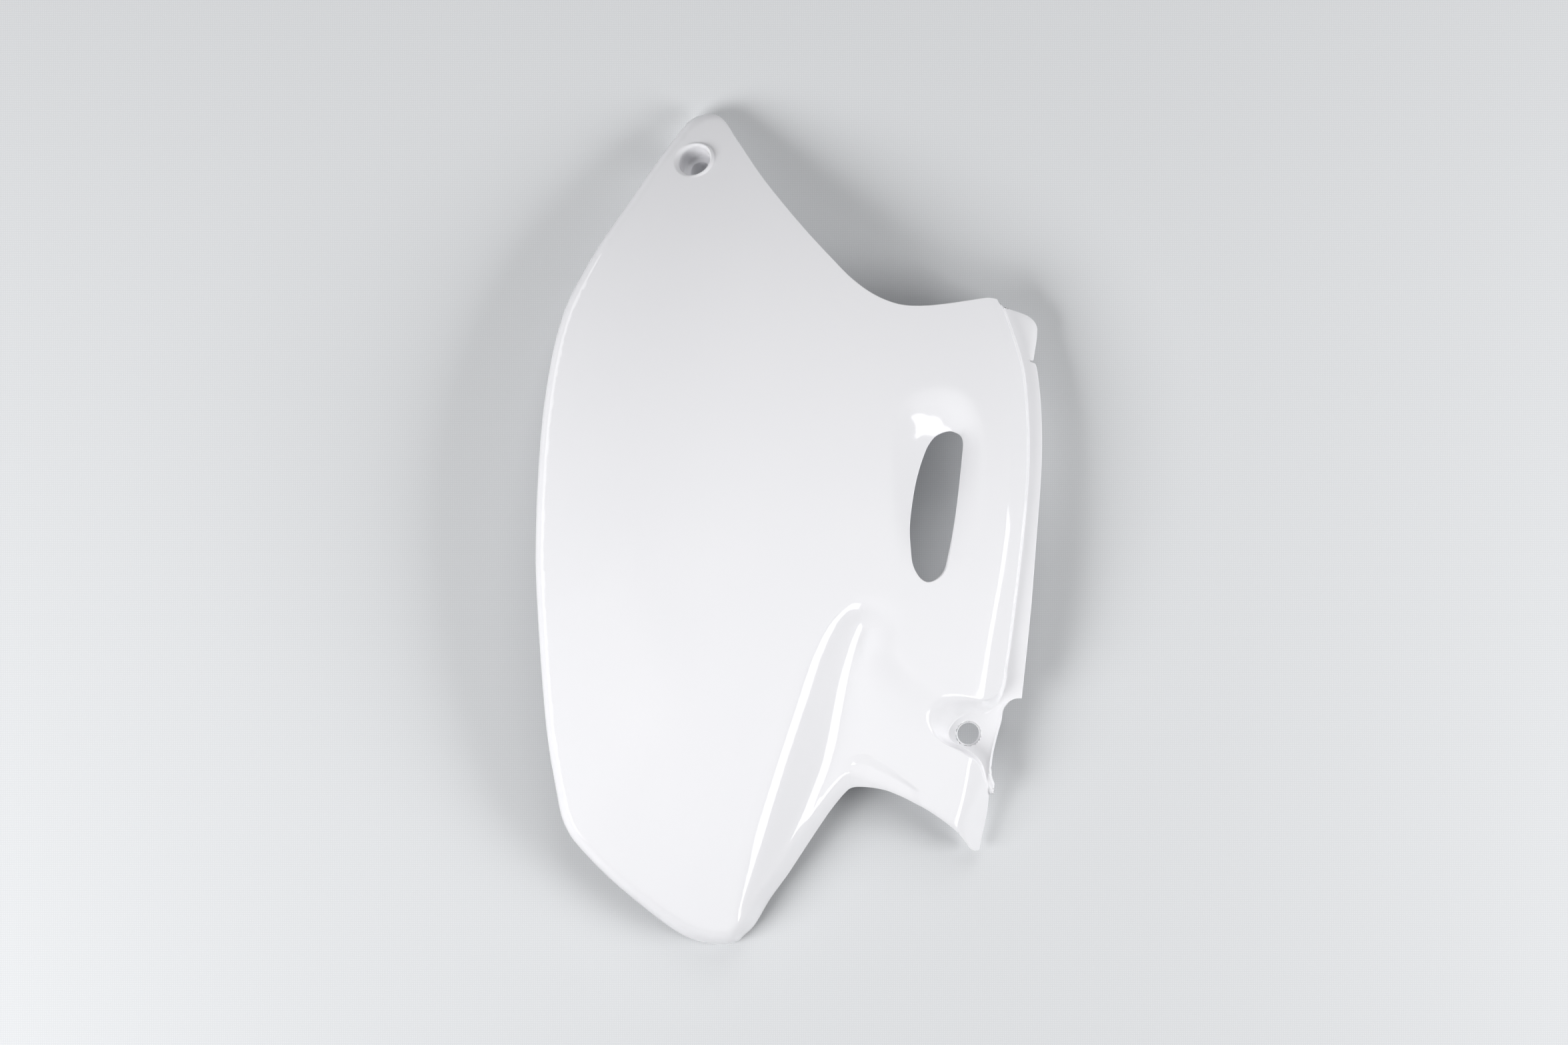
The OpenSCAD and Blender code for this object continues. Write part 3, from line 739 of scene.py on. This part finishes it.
def lathe_tree(finish):
    """Geometry Nodes that turn a profile, drawn in X and Z, about Z."""
    tree = bpy.data.node_groups.new("turned cup", "GeometryNodeTree")
    tree.interface.new_socket("Geometry", in_out="INPUT", socket_type="NodeSocketGeometry")
    tree.interface.new_socket("Sides", in_out="INPUT", socket_type="NodeSocketInt")
    tree.interface.new_socket("Geometry", in_out="OUTPUT", socket_type="NodeSocketGeometry")
    new = tree.nodes.new
    start, end = new("NodeGroupInput"), new("NodeGroupOutput")
    size = new("GeometryNodeAttributeDomainSize")
    link(tree, start.outputs["Geometry"], size.inputs[0])
    sheet = new("GeometryNodeMeshGrid")
    link(tree, start.outputs["Sides"], sheet.inputs["Size X"])
    steps = math_node(tree, "SUBTRACT", size.outputs["Point Count"], 1)
    link(tree, steps, sheet.inputs["Size Y"])
    link(tree, math_node(tree, "ADD", start.outputs["Sides"], 1), sheet.inputs["Vertices X"])
    link(tree, size.outputs["Point Count"], sheet.inputs["Vertices Y"])
    where = new("ShaderNodeSeparateXYZ")
    link(tree, new("GeometryNodeInputPosition").outputs[0], where.inputs[0])
    half = math_node(tree, "DIVIDE", start.outputs["Sides"], 2.0)
    column = math_node(tree, "ADD", where.outputs["X"], half)
    rows_half = math_node(tree, "DIVIDE", steps, 2.0)
    row = math_node(tree, "ROUND", math_node(tree, "ADD", where.outputs["Y"], rows_half))
    pick = new("GeometryNodeSampleIndex")
    pick.data_type = "FLOAT_VECTOR"
    link(tree, start.outputs["Geometry"], pick.inputs["Geometry"])
    link(tree, new("GeometryNodeInputPosition").outputs[0], pick.inputs["Value"])
    link(tree, row, pick.inputs["Index"])
    turn = new("ShaderNodeVectorRotate")
    turn.rotation_type = "Z_AXIS"
    link(tree, pick.outputs["Value"], turn.inputs["Vector"])
    share = math_node(tree, "DIVIDE", column, start.outputs["Sides"])
    link(tree, math_node(tree, "MULTIPLY", share, 2 * math.pi), turn.inputs["Angle"])
    move = new("GeometryNodeSetPosition")
    link(tree, sheet.outputs["Mesh"], move.inputs["Geometry"])
    link(tree, turn.outputs["Vector"], move.inputs["Position"])
    weld = new("GeometryNodeMergeByDistance")
    weld.inputs["Distance"].default_value = 1e-6
    link(tree, move.outputs[0], weld.inputs["Geometry"])
    real = new("GeometryNodeRealizeInstances")
    link(tree, weld.outputs[0], real.inputs[0])
    paint = new("GeometryNodeSetMaterial")
    paint.inputs["Material"].default_value = finish
    link(tree, real.outputs[0], paint.inputs["Geometry"])
    link(tree, paint.outputs[0], end.inputs[0])
    return tree


# %% The cup's profile
BOWL_R, SLEEVE_R, HOLE_R = 9.0, 8.0, cup_mount["dims"]["r_mm"]
FLOOR_H = -CUP_DEPTH
SLEEVE_END = FLOOR_H - cup_mount["dims"]["length_mm"]
UNDER_FLOOR = FLOOR_H - 3
MOUTH_ROUND, BOWL_ROUND, HOLE_ROUND = 2.2, 1.5, 0.5
SLEEVE_ROUND, ROOT_ROUND, BACK_ROUND = 0.4, 0.8, 1.0


def arc(r, h, radius, start, end, steps=4):
    """Points of an arc in the profile, angles in degrees."""
    return [(r + radius * math.cos(math.radians(a)), h + radius * math.sin(math.radians(a)))
            for a in np.linspace(start, end, steps + 1)]


profile = [(MOUTH_R, 0.0)] + arc(MOUTH_R, -MOUTH_ROUND, MOUTH_ROUND, 105, 180, 5)
profile += arc(BOWL_R - BOWL_ROUND, FLOOR_H + BOWL_ROUND, BOWL_ROUND, 0, -90)
profile += arc(HOLE_R + HOLE_ROUND, FLOOR_H - HOLE_ROUND, HOLE_ROUND, 90, 180, 3)
profile += arc(HOLE_R + SLEEVE_ROUND, SLEEVE_END + SLEEVE_ROUND, SLEEVE_ROUND, 180, 270, 2)
profile += arc(SLEEVE_R - SLEEVE_ROUND, SLEEVE_END + SLEEVE_ROUND, SLEEVE_ROUND, 270, 360, 2)
profile += arc(SLEEVE_R + ROOT_ROUND, UNDER_FLOOR - ROOT_ROUND, ROOT_ROUND, 180, 90, 3)
profile += arc(MOUTH_R - BACK_ROUND, UNDER_FLOOR + BACK_ROUND, BACK_ROUND, 270, 360, 3)
profile += [(MOUTH_R, -WALL)]
print("cup profile:", len(profile), "points")

# %% [markdown]
# The plastic is a gloss white with a faint cool tint. The pigment is in the
# plastic, so there is no coat of paint over it. Its shine wavers a little, as
# a moulded skin's does, and the back, which came off the plain side of the
# mould, is duller. A number stored on each point tells the back from the face.

# %% Gloss white plastic
def noise(tree, where, scale, detail):
    """A Noise texture on a vector socket."""
    node = tree.nodes.new("ShaderNodeTexNoise")
    node.inputs["Scale"].default_value = scale
    node.inputs["Detail"].default_value = detail
    link(tree, where, node.inputs["Vector"])
    return node.outputs["Fac"]


def between(tree, value, low, high):
    """Maps a value from 0..1 onto a range."""
    node = tree.nodes.new("ShaderNodeMapRange")
    node.inputs["To Min"].default_value = low
    node.inputs["To Max"].default_value = high
    link(tree, value, node.inputs["Value"])
    return node.outputs["Result"]


COOL_WHITE, WARM_WHITE = (0.83, 0.83, 0.855, 1), (0.865, 0.862, 0.88, 1)
TINT_SCALE, SHINE_SCALE, GRAIN_SCALE = 9, 45, 260
SHINE_LOW, SHINE_HIGH, BACK_DULL = 0.05, 0.09, 0.2
GRAIN_STRENGTH, GRAIN_DEPTH = 0.1, 0.0002
PLASTIC_IOR = 1.48


def moulded_plastic():
    """Gloss white moulded plastic with a duller back."""
    finish = bpy.data.materials.new("gloss white plastic")
    finish.use_nodes = True
    tree = finish.node_tree
    shader = tree.nodes["Principled BSDF"]
    where = tree.nodes.new("ShaderNodeTexCoord").outputs["Object"]
    tint = tree.nodes.new("ShaderNodeMix")
    tint.data_type = "RGBA"
    tint.inputs["A"].default_value = COOL_WHITE
    tint.inputs["B"].default_value = WARM_WHITE
    link(tree, noise(tree, where, TINT_SCALE, 3), tint.inputs["Factor"])
    link(tree, tint.outputs["Result"], shader.inputs["Base Color"])
    shine = between(tree, noise(tree, where, SHINE_SCALE, 4), SHINE_LOW, SHINE_HIGH)
    side = tree.nodes.new("ShaderNodeAttribute")
    side.attribute_name = "back"
    dull = math_node(tree, "MULTIPLY", side.outputs["Fac"], BACK_DULL)
    link(tree, math_node(tree, "ADD", shine, dull), shader.inputs["Roughness"])
    skin = tree.nodes.new("ShaderNodeBump")
    skin.inputs["Strength"].default_value = GRAIN_STRENGTH
    skin.inputs["Distance"].default_value = GRAIN_DEPTH
    link(tree, noise(tree, where, GRAIN_SCALE, 2), skin.inputs["Height"])
    link(tree, skin.outputs["Normal"], shader.inputs["Normal"])
    shader.inputs["IOR"].default_value = PLASTIC_IOR
    return finish


plastic = moulded_plastic()

# %% Turn the cup
def turned_cup(profile, sides, finish):
    """Points and faces of the cup about Z, from the lathe tree."""
    mesh = bpy.data.meshes.new("cup profile")
    mesh.from_pydata([(r, 0, h) for r, h in profile], [], [])
    cup = bpy.data.objects.new("cup", mesh)
    bpy.context.scene.collection.objects.link(cup)
    lathe = cup.modifiers.new("lathe", "NODES")
    tree = lathe_tree(finish)
    lathe.node_group = tree
    sockets = {s.name: s.identifier for s in tree.interface.items_tree if s.in_out == "INPUT"}
    lathe[sockets["Sides"]] = sides
    bpy.context.view_layer.update()
    result = bpy.data.meshes.new_from_object(
        cup.evaluated_get(bpy.context.evaluated_depsgraph_get()))
    points = np.array([v.co[:] for v in result.vertices])
    faces = [list(p.vertices) for p in result.polygons]
    bpy.data.objects.remove(cup)
    bpy.data.meshes.remove(result)
    return points, faces


cup_points, cup_faces = turned_cup(profile, SIDES, plastic)
cup_shape = (cup_mouth + cup_points[:, :1] * cup_u + cup_points[:, 1:2] * cup_v
             + cup_points[:, 2:] * cup_axis)
print("cup:", len(cup_points), "points", len(cup_faces), "faces")

# %% [markdown]
# Shell and cup are one moulding, so the cup's two outer rings are moved onto
# the shell's two mouth rings and welded there. Two meshes that only overlap
# would show a seam in the gloss. The result is one closed mesh with its faces
# outwards, which replaces the plain CAD solid.

# %% Weld the cup into the shell
mouth = np.array(loops["cup mouth"])
radius = np.hypot(cup_points[:, 0], cup_points[:, 1])
at_rim = np.abs(radius - MOUTH_R) < 1e-4
for height, ring in ((0.0, outer[mouth]), (-WALL, inner[mouth])):
    for i in np.flatnonzero(at_rim & (np.abs(cup_points[:, 2] - height) < 1e-4)):
        cup_shape[i] = ring[np.linalg.norm(ring - cup_shape[i], axis=1).argmin()]
all_points = np.concatenate([shell_points, cup_shape]) * MM
all_faces = shell_faces + [[v + len(shell_points) for v in f] for f in cup_faces]
all_back = np.concatenate([shell_back, (cup_points[:, 2] < SLEEVE_END + 1).astype(float)])

panel_mesh = bpy.data.meshes.new("side_panel_skin")
panel_mesh.from_pydata(all_points.tolist(), [], all_faces)
panel_mesh.attributes.new("back", "FLOAT", "POINT").data.foreach_set("value", all_back)
work = bmesh.new()
work.from_mesh(panel_mesh)
bmesh.ops.remove_doubles(work, verts=work.verts, dist=2e-6)
loose = [v for v in work.verts if not v.link_faces]
bmesh.ops.delete(work, geom=loose, context="VERTS")
bmesh.ops.recalc_face_normals(work, faces=work.faces)
open_edges = sum(not e.is_manifold for e in work.edges)
work.to_mesh(panel_mesh)
work.free()
panel_mesh.shade_smooth()
panel = bpy.data.objects.new("side_panel_skin", panel_mesh)
bpy.context.scene.collection.objects.link(panel)
panel_mesh.materials.append(plastic)
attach(panel, "root")
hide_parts("side_panel")
print("panel:", len(panel_mesh.polygons), "faces, edges not closed:", open_edges)

# %% [markdown]
# The panel was photographed from straight above on a pale woven sheet. The
# camera looks straight down too, and the floor lies where the panel's lowest
# points rest. Two wave textures, one across the other, make the weave.

# %% Camera
def look_at(thing, target):
    """Turns a lamp or camera to face a point."""
    away = Vector(target) - thing.location
    thing.rotation_euler = away.to_track_quat("-Z", "Y").to_euler()


CAMERA_AT, LENS, SENSOR = (-0.0036, 0.0045, 1.5), 60.72, 36
camera = bpy.data.objects.new("camera", bpy.data.cameras.new("camera"))
camera.data.sensor_width = SENSOR
camera.data.lens = LENS
camera.location = CAMERA_AT
bpy.context.scene.collection.objects.link(camera)
bpy.context.scene.camera = camera

# %% Floor
FLOOR_HALF, FLOOR_Z = 4.0, cad_low[2]
WEAVE_SCALE, WEAVE_WAVER = 300, 1.5
WEFT, WARP = (0.64, 0.652, 0.667, 1), (0.745, 0.754, 0.766, 1)


def pale_sheet():
    """A pale woven cloth, from two waves that cross."""
    cloth = bpy.data.materials.new("pale sheet")
    cloth.use_nodes = True
    tree = cloth.node_tree
    shader = tree.nodes["Principled BSDF"]
    shader.inputs["Roughness"].default_value = 0.9
    where = tree.nodes.new("ShaderNodeTexCoord").outputs["Object"]
    threads = []
    for direction in ("X", "Y"):
        wave = tree.nodes.new("ShaderNodeTexWave")
        wave.bands_direction = direction
        wave.inputs["Scale"].default_value = WEAVE_SCALE
        wave.inputs["Distortion"].default_value = WEAVE_WAVER
        link(tree, where, wave.inputs["Vector"])
        threads.append(wave.outputs["Fac"])
    weave = tree.nodes.new("ShaderNodeMix")
    weave.data_type = "RGBA"
    weave.inputs["A"].default_value = WEFT
    weave.inputs["B"].default_value = WARP
    link(tree, math_node(tree, "MULTIPLY", *threads), weave.inputs["Factor"])
    link(tree, weave.outputs["Result"], shader.inputs["Base Color"])
    return cloth


floor_mesh = bpy.data.meshes.new("floor")
corners = [(x * FLOOR_HALF, y * FLOOR_HALF, FLOOR_Z)
           for x, y in ((-1, -1), (1, -1), (1, 1), (-1, 1))]
floor_mesh.from_pydata(corners, [], [(0, 1, 2, 3)])
floor = bpy.data.objects.new("floor", floor_mesh)
bpy.context.scene.collection.objects.link(floor)
floor_mesh.materials.append(pale_sheet())
print("floor at:", round(FLOOR_Z / MM, 2), "mm")

# %% [markdown]
# Gloss plastic shows its lamps as bright lines wherever a fold turns the
# surface towards them. So the light comes in two kinds. Three broad lamps
# light the plastic and the floor evenly, and the gloss doesn't mirror them.
# Two long strips, left and right, are seen only in the gloss and draw the
# lines. How high a strip stands sets how far a surface must tilt to catch it.

# %% Lamps and surroundings
def area_lamp(name, turn, rise, away, length, width):
    """A rectangular lamp that faces the panel from a bearing and a height."""
    lamp = bpy.data.objects.new(name, bpy.data.lights.new(name, "AREA"))
    lamp.data.shape = "RECTANGLE"
    lamp.data.size, lamp.data.size_y = length, width
    turn, rise = math.radians(turn), math.radians(rise)
    lamp.location = (away * math.cos(rise) * math.cos(turn),
                     away * math.cos(rise) * math.sin(turn), away * math.sin(rise))
    bpy.context.scene.collection.objects.link(lamp)
    look_at(lamp, (0, 0, 0))
    return lamp


def broad_light(name, turn, rise, away, size, share):
    """Gives a share of the light on the floor, and isn't mirrored in the gloss."""
    lamp = area_lamp(name, turn, rise, away, size, size)
    lamp.data.energy = share * math.pi ** 2 * away ** 2 / math.sin(math.radians(rise))
    lamp.visible_glossy = False


def glint(name, turn, rise, away, width, length, glow):
    """A long strip that only the gloss shows, as bright lines on the folds."""
    lamp = area_lamp(name, turn, rise, away, length, width)
    lamp.data.energy = glow * math.pi * width * length
    lamp.visible_diffuse = False


broad_light("left window", turn=206, rise=39, away=1.7, size=0.9, share=0.55)
broad_light("right window", turn=-12, rise=28, away=1.6, size=0.7, share=0.33)
broad_light("far window", turn=80, rise=44, away=2.5, size=1.2, share=0.16)
glint("left strip", turn=181, rise=13, away=2.4, width=0.68, length=4.2, glow=2.8)
glint("right strip", turn=-31, rise=26, away=2.4, width=0.84, length=2.8, glow=5.4)
ROOM_TINT, ROOM_LIGHT = (0.97, 0.98, 1.0, 1), 0.1
world = bpy.data.worlds.new("studio")
bpy.context.scene.world = world
world.use_nodes = True
world.node_tree.nodes["Background"].inputs["Color"].default_value = ROOM_TINT
world.node_tree.nodes["Background"].inputs["Strength"].default_value = ROOM_LIGHT
bpy.context.scene.view_settings.view_transform = "Standard"
